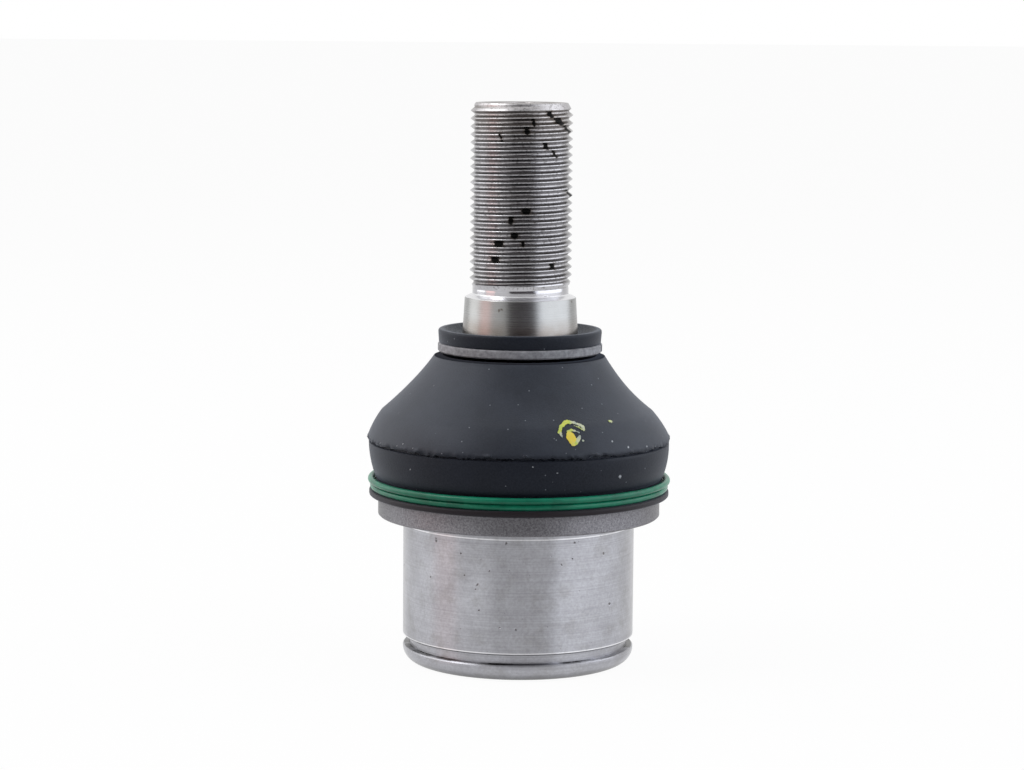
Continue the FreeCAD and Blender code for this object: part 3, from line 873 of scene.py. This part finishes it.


# %% Thread and taper
# Rolled thread: the rollers polished its crests, and painted shade darkens the flanks of its grooves.
ROLLED_RINGS = 0.15
GRIT_SIZE = 0.45
BROWNED = (77, 82)
thread_steel, tree = new_material("steel_rolled_thread")
place = add_node(tree, "TexCoord").outputs["Object"]
rings = turned_rings(tree, place, ROLLED_RINGS)
base = turned_tone(tree, place, rings, "#C0C0C4", "#AAA9AC")
groove = add_node(tree, "Attribute", attribute_name="groove_depth").outputs["Fac"]
groove = add_node(tree, "MapRange", {0: groove, 1: 0.05, 2: 0.9})
# Painted shade: the groove's depth darkens the flanks, and the crests and roots less.
painted_groove_shade = set_ramp(add_node(tree, "ValToRGB", {0: groove}),
                 (0, "#FFFFFF"), (0.3, "#B7B5B3"), (0.75, "#A3A09E"), (1, "#E8E7E6"))
base = add_node(tree, "MixRGB", {0: 1.0, 1: base, 2: painted_groove_shade}, blend_type="MULTIPLY")
grease = add_node(tree, "Attribute", attribute_name="grease").outputs["Fac"]
smear = add_node(tree, "MapRange", {0: grease, 2: 0.45, 4: 0.5})
grease = add_node(tree, "MapRange", {0: grease, 1: 0.42, 2: 0.6})
height = add_node(tree, "SeparateXYZ", {0: place}).outputs["Z"]
browned = add_node(tree, "MapRange",
                   {0: height, 1: BROWNED[0] * MM, 2: BROWNED[1] * MM, 4: 0.16})
grit = add_node(tree, "TexNoise", {"Vector": place, "Scale": per_metre(GRIT_SIZE), "Detail": 3.0,
                                   "Roughness": 0.6})
grit = add_node(tree, "MapRange", {0: grit, 1: 0.52, 2: 0.66, 4: 0.6})
rolled = add_node(tree, "MapRange",
                  {0: height, 1: (thread_start + 1) * MM, 2: (thread_start + 1.6) * MM})
grit = add_node(tree, "Math", {0: grit, 1: rolled}, operation="MULTIPLY")
for mask, tone in ((smear, "#6B5F52"), (browned, "#8E7F69"), (grit, "#4B4744"), (grease, "#040404")):
    base = add_node(tree, "MixRGB", {0: mask, 1: base, 2: colour(tone)})
cut_end = add_node(tree, "MapRange",
                   {0: height, 1: (stud_top - 2) * MM, 2: (stud_top - 1.5) * MM, 4: 0.2})
rough = add_node(tree, "MapRange", {0: groove, 3: 0.16, 4: 0.29})
rough = add_node(tree, "Math", {0: rough, 1: cut_end}, operation="ADD")
dull = add_node(tree, "MapRange", {0: grease, 4: 0.25})
rough = add_node(tree, "Math", {0: rough, 1: dull}, operation="ADD")
bare = add_node(tree, "MapRange", {0: grease, 3: 1, 4: 0})
relief = add_node(tree, "Bump", {"Distance": 0.002 * MM, "Height": rings})
shader = add_node(tree, "BsdfPrincipled", {
    "Base Color": base, "Metallic": bare, "Roughness": rough, "Specular IOR Level": 0.12,
    "Normal": relief})
add_node(tree, "OutputMaterial", {"Surface": shader})
give(thread, thread_steel)

# Ground taper: a fine finish that still shows the room as blurred bands, with painted shade in patches
# at its foot next to the boot's lip, and a painted highlight on the bevel above it.
TAPER_MARKS = [(0, 9.6, 50.0, 0.5), (4, 9.7, 49.7, 0.4), (-22, 10.6, 47.4, 0.35),
               (-19, 10.6, 47.6, 0.3), (66, 10.6, 48.6, 0.35), (-55, 9.3, 50.7, 0.3),
               (160, 10.7, 47.0, 0.5), (205, 10.8, 45.0, 0.4)]
PAINTED_SHADE_FOOT = 44.6
FOOT_SHADE_PATCH = 5.0
GROUND_RINGS = 0.1
taper_steel, tree = new_material("steel_ground_taper")
place = add_node(tree, "TexCoord").outputs["Object"]
rings = turned_rings(tree, place, GROUND_RINGS)
base = turned_tone(tree, place, rings, "#9A9B9B", "#8A8A89")
marks = add_node(tree, "MapRange", {0: spotted(tree, place, TAPER_MARKS), 4: 0.7})
height = add_node(tree, "SeparateXYZ", {0: place}).outputs["Z"]
# Painted shade: the taper's lowest part, next to the boot's lip, is darkened in patches.
painted_foot_shade = add_node(tree, "MapRange", {0: height, 1: (PAINTED_SHADE_FOOT + 1.4) * MM, 2: (PAINTED_SHADE_FOOT - 1.2) * MM})
patchy = add_node(tree, "TexNoise", {"Vector": place, "Scale": per_metre(FOOT_SHADE_PATCH), **CLOUDY})
patchy = add_node(tree, "MapRange", {0: patchy, 1: 0.3, 2: 0.6, 3: 0.4})
painted_foot_shade = add_node(tree, "Math", {0: painted_foot_shade, 1: patchy}, operation="MULTIPLY")
# Painted highlight: the bevel above the taper is made nearly white, as if lit from overhead.
bevel = add_node(tree, "MapRange", {0: height, 1: (taper_top - 0.02) * MM, 2: (taper_top + 0.06) * MM})
for mask, tone in ((marks, "#4A4034"), (painted_foot_shade, "#7E7873"), (bevel, "#DADADC")):
    base = add_node(tree, "MixRGB", {0: mask, 1: base, 2: colour(tone)})
rough = add_node(tree, "MapRange", {0: rings, 1: 0.3, 2: 0.7, 3: 0.25, 4: 0.31})
relief = add_node(tree, "Bump", {"Distance": 0.003 * MM, "Height": rings})
shader = add_node(tree, "BsdfPrincipled", {
    "Base Color": base, "Metallic": 1.0, "Roughness": rough, "Normal": relief})
add_node(tree, "OutputMaterial", {"Surface": shader})
give(stud_body, taper_steel)
print("stud finishes:", thread_steel.name, taper_steel.name)

# %% [markdown]
# The housing has three finishes on one forging. Its flange was blasted and stayed grey. Its seat
# was ground to size and shows fine rings and small pits. The groove and the rim under it were turned.
# Painted highlights line the seat's top and the edge above the groove, and painted shade darkens the
# groove's corner in patches and the rim's rolled foot. The height on the part tells them apart, and a
# short step between two heights makes each mask.

# %% Housing finish
FLANGE_FOOT = 7.55
GRINDING_END = 6.1
GROOVE_TOP = -15.5
RIM_TOP = -17.3
SEAT_RADIUS = 22.0
RIM_BEND = (-19.0, -20.3)
TURNING_FEED = 0.16
BLAST_GRAIN = 0.32
MOTTLE_SIZE = 0.5
HOUSING_STAIN = 3.5
CORNER_SHADE_PATCH = 6.0
PIT_SPACING = 1.7
SEAT_PITS = [(-6, 5.7, 0.26), (-44, 4.9, 0.36), (-44, 5.4, 0.3), (46, 2.6, 0.36), (51, -7.1, 0.42),
             (-20, -2.4, 0.28), (-21, -3.2, 0.22), (-14, 0.3, 0.2), (-27, -0.8, 0.22),
             (-1, -10.5, 0.28), (-19, -7.1, 0.22), (27, 2.4, 0.2), (21, 1.4, 0.2), (-48, -2.1, 0.24),
             (-29, 3.3, 0.26), (-9, -10.2, 0.22), (28, 5.4, 0.22), (-80, -1.8, 0.3), (150, 3.0, 0.36),
             (205, -8.0, 0.32), (-110, -4.0, 0.32), (110, -11.0, 0.28)]


def band(tree, height, low_mm, high_mm, blur_mm=0.05):
    """A mask that is 1 between two heights in mm."""
    over_low, over_high = (
        add_node(tree, "MapRange", {0: height, 1: (edge - blur_mm) * MM, 2: (edge + blur_mm) * MM})
        for edge in (low_mm, high_mm))
    return add_node(tree, "Math", {0: over_low, 1: over_high}, operation="SUBTRACT")


housing_steel, tree = new_material("steel_ground_seat_blasted_flange")
place = add_node(tree, "TexCoord").outputs["Object"]
height = add_node(tree, "SeparateXYZ", {0: place}).outputs["Z"]
rings = turned_rings(tree, place, TURNING_FEED)
grain = add_node(tree, "TexNoise",
                 {"Vector": place, "Scale": per_metre(BLAST_GRAIN), "Detail": 3.0, "Roughness": 0.7})
mottle = add_node(tree, "TexNoise", {"Vector": place, "Scale": per_metre(MOTTLE_SIZE),
                                     "Detail": 2.0, "Roughness": 0.6})
mottle = add_node(tree, "MapRange", {0: mottle, 1: 0.35, 2: 0.65, 4: 0.35})
# Painted highlight: thin light lines at the top of the ground seat and just above the groove.
edge = add_node(tree, "Math", {0: band(tree, height, GRINDING_END, GRINDING_END + 0.2),
                               1: band(tree, height, GROOVE_TOP + 0.27, GROOVE_TOP + 0.5)},
                operation="MAXIMUM")
cells = add_node(tree, "TexVoronoi", {"Vector": place, "Scale": per_metre(PIT_SPACING)})
pits = add_node(tree, "MapRange", {0: cells.outputs["Distance"], 1: 0.09, 2: 0.02, 4: 0.6})
placed = [(angle, SEAT_RADIUS, pit_height, size) for angle, pit_height, size in SEAT_PITS]
pits = add_node(tree, "Math", {0: pits, 1: spotted(tree, place, placed)}, operation="MAXIMUM")
pitted = add_node(tree, "MapRange", {0: pits, 4: 0.8})
stain = add_node(tree, "TexNoise", {"Vector": place, "Scale": per_metre(HOUSING_STAIN),
                                    "Detail": 6.0, "Roughness": 0.7})
stain = add_node(tree, "MapRange", {0: stain, 1: 0.5, 2: 0.64, 4: 0.28})
# Painted shade: the groove's corner on top of the rim is darkened in patches.
groove_corner_painted_shade = add_node(tree, "TexNoise", {"Vector": place, "Scale": per_metre(CORNER_SHADE_PATCH), **CLOUDY})
groove_corner_painted_shade = add_node(tree, "MapRange", {0: groove_corner_painted_shade, 1: 0.42, 2: 0.56, 3: 0.1})
corner = band(tree, height, RIM_TOP - 0.05, RIM_TOP + 0.12)
groove_corner_painted_shade = add_node(tree, "Math", {0: corner, 1: groove_corner_painted_shade}, operation="MULTIPLY")
# Painted shade: the rim's rolled lower edge, where it meets the floor, is darkened.
foot = add_node(tree, "MapRange",
                {0: height, 1: RIM_BEND[0] * MM, 2: RIM_BEND[1] * MM, 4: 0.8})
ground_tone = turned_tone(tree, place, rings, "#B5B6BC", "#9A9A9F")
# Layers over the ground tone: mottle, painted highlight lines, pits, stains, painted shade in the
# groove's corner and on the rim's foot.
for mask, tone in ((mottle, "#88878C"), (edge, "#DCDCDF"), (pitted, "#4B4644"), (stain, "#7D7B77"),
                   (groove_corner_painted_shade, "#1D1B1A"), (foot, "#3B3A3A")):
    ground_tone = add_node(tree, "MixRGB", {0: mask, 1: ground_tone, 2: colour(tone)})
blast_tone = set_ramp(add_node(tree, "ValToRGB", {0: grain}), (0.3, "#5A595D"), (0.7, "#8B8A8E"))
flange = add_node(tree, "MapRange",
                  {0: height, 1: (FLANGE_FOOT - 0.05) * MM, 2: (FLANGE_FOOT + 0.05) * MM})
base = add_node(tree, "MixRGB", {0: flange, 1: ground_tone, 2: blast_tone})
rough = add_node(tree, "MapRange", {0: flange, 3: 0.3, 4: 0.5})
relief = add_node(tree, "Bump", {"Distance": 0.003 * MM, "Height": rings})
relief = add_node(tree, "Bump", {"Distance": -0.06 * MM, "Height": pits, "Normal": relief})
relief = add_node(tree, "Bump", {"Strength": flange, "Distance": 0.04 * MM, "Height": grain,
                                 "Normal": relief})
round_axis = add_node(tree, "Tangent", direction_type="RADIAL", axis="Z")
shader = add_node(tree, "BsdfPrincipled", {
    "Base Color": base, "Metallic": 1.0, "Roughness": rough, "Normal": relief,
    "Anisotropic": 0.75, "Anisotropic Rotation": 0.25, "Tangent": round_axis})
add_node(tree, "OutputMaterial", {"Surface": shader})
give(nodes["housing"], housing_steel)
print("housing finish:", len(SEAT_PITS), "placed pits")

# %% [markdown]
# ## Rubber
#
# The boot is black chloroprene rubber from a spark-eroded mould: not shiny, with a fine grain and a
# bluish bloom. Its upper part, between the flash and the flat ring, is painted lighter as if lit from
# above, and the rest is painted darker as if shaded. Dust sits on it as pale specks, the edges of the
# top lip are rubbed grey, and the gap under the flat ring is painted black as shade.

# %% Boot rubber
RUBBER_GRAIN = 0.3
BLOOM_SIZE = 9.0
DUST_SPACING = 1.7
DUST_SHARE = 0.45
LARGE_SPECKS = [(41, 28.1, 18.1, 0.45), (45, 28.3, 23.4, 0.3), (38, 27.5, 24.7, 0.25),
                (-45, 28.2, 19.0, 0.28), (-38, 27.3, 25.0, 0.25), (130, 28.4, 20.0, 0.35),
                (-140, 28.0, 24.0, 0.3), (-64, 28.6, 22.7, 0.13), (-52, 28.6, 23.0, 0.11),
                (-49, 28.5, 23.4, 0.16), (-47, 28.6, 22.6, 0.12), (-43, 28.5, 23.0, 0.14),
                (-35, 28.6, 22.8, 0.1), (5, 28.4, 20.8, 0.2), (14, 28.4, 19.6, 0.18),
                (56, 28.5, 23.0, 0.22), (-12, 21.0, 32.4, 0.2), (22, 20.4, 33.0, 0.18)]

rubber, tree = new_material("chloroprene_rubber_moulded")
place = add_node(tree, "Attribute", attribute_name="resting_place").outputs["Vector"]
height = add_node(tree, "SeparateXYZ", {0: place}).outputs["Z"]
cloud = add_node(tree, "TexNoise", {"Vector": place, "Scale": per_metre(BLOOM_SIZE), **CLOUDY})
grain = add_node(tree, "TexNoise",
                 {"Vector": place, "Scale": per_metre(RUBBER_GRAIN), "Detail": 2.0, "Roughness": 0.6})
# Painted light and shade: the upper part gets a lighter copy of the bloom, as if lit from above, and the
# rest a darker copy, as if shaded.
shoulder_bloom_and_painted_light = set_ramp(add_node(tree, "ValToRGB", {0: cloud}), (0.3, "#24272D"), (0.7, "#30343C"))
side_bloom_and_painted_shade = set_ramp(add_node(tree, "ValToRGB", {0: cloud}), (0.3, "#0B0E16"), (0.7, "#11151F"))
over_flash = add_node(tree, "MapRange", {0: height, 1: (FLASH_HEIGHT - 0.1) * MM,
                                         2: (FLASH_HEIGHT + 0.6) * MM})
over_band = add_node(tree, "MapRange", {0: height, 1: (band_low - 0.05) * MM,
                                        2: (band_low + 0.05) * MM})
faces_up = add_node(tree, "Math", {0: over_flash, 1: over_band}, operation="SUBTRACT")
worn = add_node(tree, "MixRGB", {0: faces_up, 1: side_bloom_and_painted_shade, 2: shoulder_bloom_and_painted_light})
cells = add_node(tree, "TexVoronoi", {"Vector": place, "Scale": per_metre(DUST_SPACING)})
speck = add_node(tree, "MapRange", {0: cells.outputs["Distance"], 1: 0.1, 2: 0.04})
chosen = add_node(tree, "SeparateColor", {0: cells.outputs["Color"]})
chosen = add_node(tree, "Math", {0: chosen, 1: 1 - DUST_SHARE}, operation="GREATER_THAN")
dust = add_node(tree, "Math", {0: speck, 1: chosen}, operation="MULTIPLY")
grained = add_node(tree, "MapRange", {0: grain, 1: 0.35, 2: 0.65, 4: 0.1})
dust = add_node(tree, "MapRange", {0: dust, 4: 0.7})
specks = add_node(tree, "MapRange", {0: spotted(tree, place, LARGE_SPECKS), 4: 0.9})
rim = add_node(tree, "MapRange",
               {0: height, 1: (boot_top - 0.12) * MM, 2: (boot_top - 0.02) * MM, 4: 0.35})
flat = add_node(tree, "VectorMath", {0: place, 1: (1, 1, 0)}, operation="MULTIPLY")
radius = add_node(tree, "VectorMath", {0: flat}, operation="LENGTH").outputs["Value"]
dish = add_node(tree, "MapRange", {0: radius, 1: (top_radius - 0.8) * MM, 2: (top_radius - 1.1) * MM})
dish = add_node(tree, "Math", {0: dish, 1: over_band}, operation="MULTIPLY")
dish_grain = add_node(tree, "MapRange", {0: grain, 1: 0.4, 2: 0.6})
dish_tone = add_node(tree, "MixRGB", {0: dish_grain, 1: colour("#26282B"), 2: colour("#55585C")})
foot = add_node(tree, "MapRange", {0: height, 1: (wire_low + 0.1) * MM, 2: (wire_low - 0.1) * MM})
# Painted shade: the gap under the flat ring is made black and loses its gloss.
band_gap_painted_shade = band(tree, height, NECK_FOOT[1] + 0.04, band_high - 0.2)
for mask, tone in ((grained, colour("#4E545E")), (dust, colour("#8A8F96")),
                   (specks, colour("#C4C8CC")), (dish, dish_tone), (rim, colour("#5D6166")),
                   (foot, colour("#231C1D")), (band_gap_painted_shade, colour("#010101"))):
    worn = add_node(tree, "MixRGB", {0: mask, 1: worn, 2: tone})
gloss = add_node(tree, "MapRange", {0: faces_up, 3: 0.24, 4: 0.34})
gloss = add_node(tree, "Math", {0: gloss, 1: band_gap_painted_shade}, operation="SUBTRACT", use_clamp=True)
relief = add_node(tree, "Bump", {"Distance": 0.03 * MM, "Height": grain})
shader = add_node(tree, "BsdfPrincipled", {
    "Base Color": worn, "Roughness": 0.5, "IOR": 1.5, "Specular IOR Level": gloss,
    "Specular Tint": colour("#DDE3F0"), "Sheen Weight": 0.32, "Sheen Roughness": 0.4,
    "Sheen Tint": colour("#C8D2E6"), "Normal": relief})
add_node(tree, "OutputMaterial", {"Surface": shader})
give(boot, rubber)
print("rubber:", len(tree.nodes), "shader nodes")

# %% [markdown]
# ## Paint, wire ring and flat ring
#
# The paint is a glossy enamel that turns greenish over the black where it is thin, and pale where it
# has nearly run out. The lower ring is spring wire with a green epoxy coat, smooth enough to show a
# bright line along each turn. The upper ring is dull zinc with a cloudy chromate on it.

# %% Coats
def coated(name, light, dark, patch_mm, roughness, metallic=0.0, bump=0.0, gloss=0.5):
    """A coat in two tones that mix in patches of this size."""
    material, tree = new_material(name)
    place = add_node(tree, "TexCoord").outputs["Object"]
    patches = add_node(tree, "TexNoise", {"Vector": place, "Scale": per_metre(patch_mm), **CLOUDY})
    base = set_ramp(add_node(tree, "ValToRGB", {0: patches}), (0.35, dark), (0.65, light))
    relief = add_node(tree, "Bump", {"Distance": bump * MM, "Height": patches})
    shader = add_node(tree, "BsdfPrincipled", {
        "Base Color": base, "Metallic": metallic, "Roughness": roughness,
        "Specular IOR Level": gloss, "Normal": relief})
    add_node(tree, "OutputMaterial", {"Surface": shader})
    return material


BRISTLE_SIZE = 0.8
enamel, tree = new_material("enamel_marker_yellow")
place = add_node(tree, "Attribute", attribute_name="resting_place").outputs["Vector"]
brushed = add_node(tree, "TexNoise", {"Vector": place, "Scale": per_metre(BRISTLE_SIZE), **CLOUDY})
bristles = add_node(tree, "MapRange", {0: brushed, 1: 0.3, 2: 0.7, 3: -0.12, 4: 0.12})
thinness = add_node(tree, "Attribute", attribute_name="paint_thinness").outputs["Fac"]
thinness = add_node(tree, "Math", {0: thinness, 1: bristles}, operation="ADD")
base = set_ramp(add_node(tree, "ValToRGB", {0: thinness}),
                (0, "#F4DA46"), (0.25, "#EEDF66"), (0.5, "#C6D655"), (0.8, "#D2D6B4"), (1, "#9DACA8"))
relief = add_node(tree, "Bump", {"Distance": 0.04 * MM, "Height": brushed})
shader = add_node(tree, "BsdfPrincipled", {"Base Color": base, "Roughness": 0.4, "Normal": relief})
add_node(tree, "OutputMaterial", {"Surface": shader})
give(mark, enamel)
give(nodes["lower_clamp_ring"], coated("epoxy_coat_green", "#158A68", "#0D6A50", 4.0, 0.3,
                                       bump=0.006, gloss=0.28))
give(nodes["upper_clamp_ring"], coated("zinc_chromated", "#A3A4A9", "#7B7C80", 0.8, 0.65,
                                       bump=0.02))
print("coats: enamel, epoxy, zinc")

# %% [markdown]
# ## Pieces that hardly show
#
# The cover plate closes the housing from below and is zinc plated, which is pale and cloudy. Inside,
# the bearing shells and the slide ring are moulded in acetal, a waxy cream plastic, and the disc
# spring is dark oiled steel.

# %% Inner finishes
give(nodes["cover_plate"], coated("zinc_plated_sheet", "#C2C4C6", "#9EA0A3", 4.0, 0.35, 1.0,
                                  bump=0.01))
acetal = coated("acetal_moulded_natural", "#E4E0D2", "#D8D3C2", 5.0, 0.4, bump=0.01)
for name in ("upper_bearing_seat", "lower_bearing_cup", "neck_slide_ring"):
    give(nodes[name], acetal)
give(nodes["preload_spring"], coated("spring_steel_oiled", "#6E6E70", "#4C4C4F", 3.0, 0.4, 1.0,
                                     bump=0.01))
print("inner finishes: zinc, acetal, spring steel")

# %% [markdown]
# ## End
#
# The CAD model's box is printed near the start.
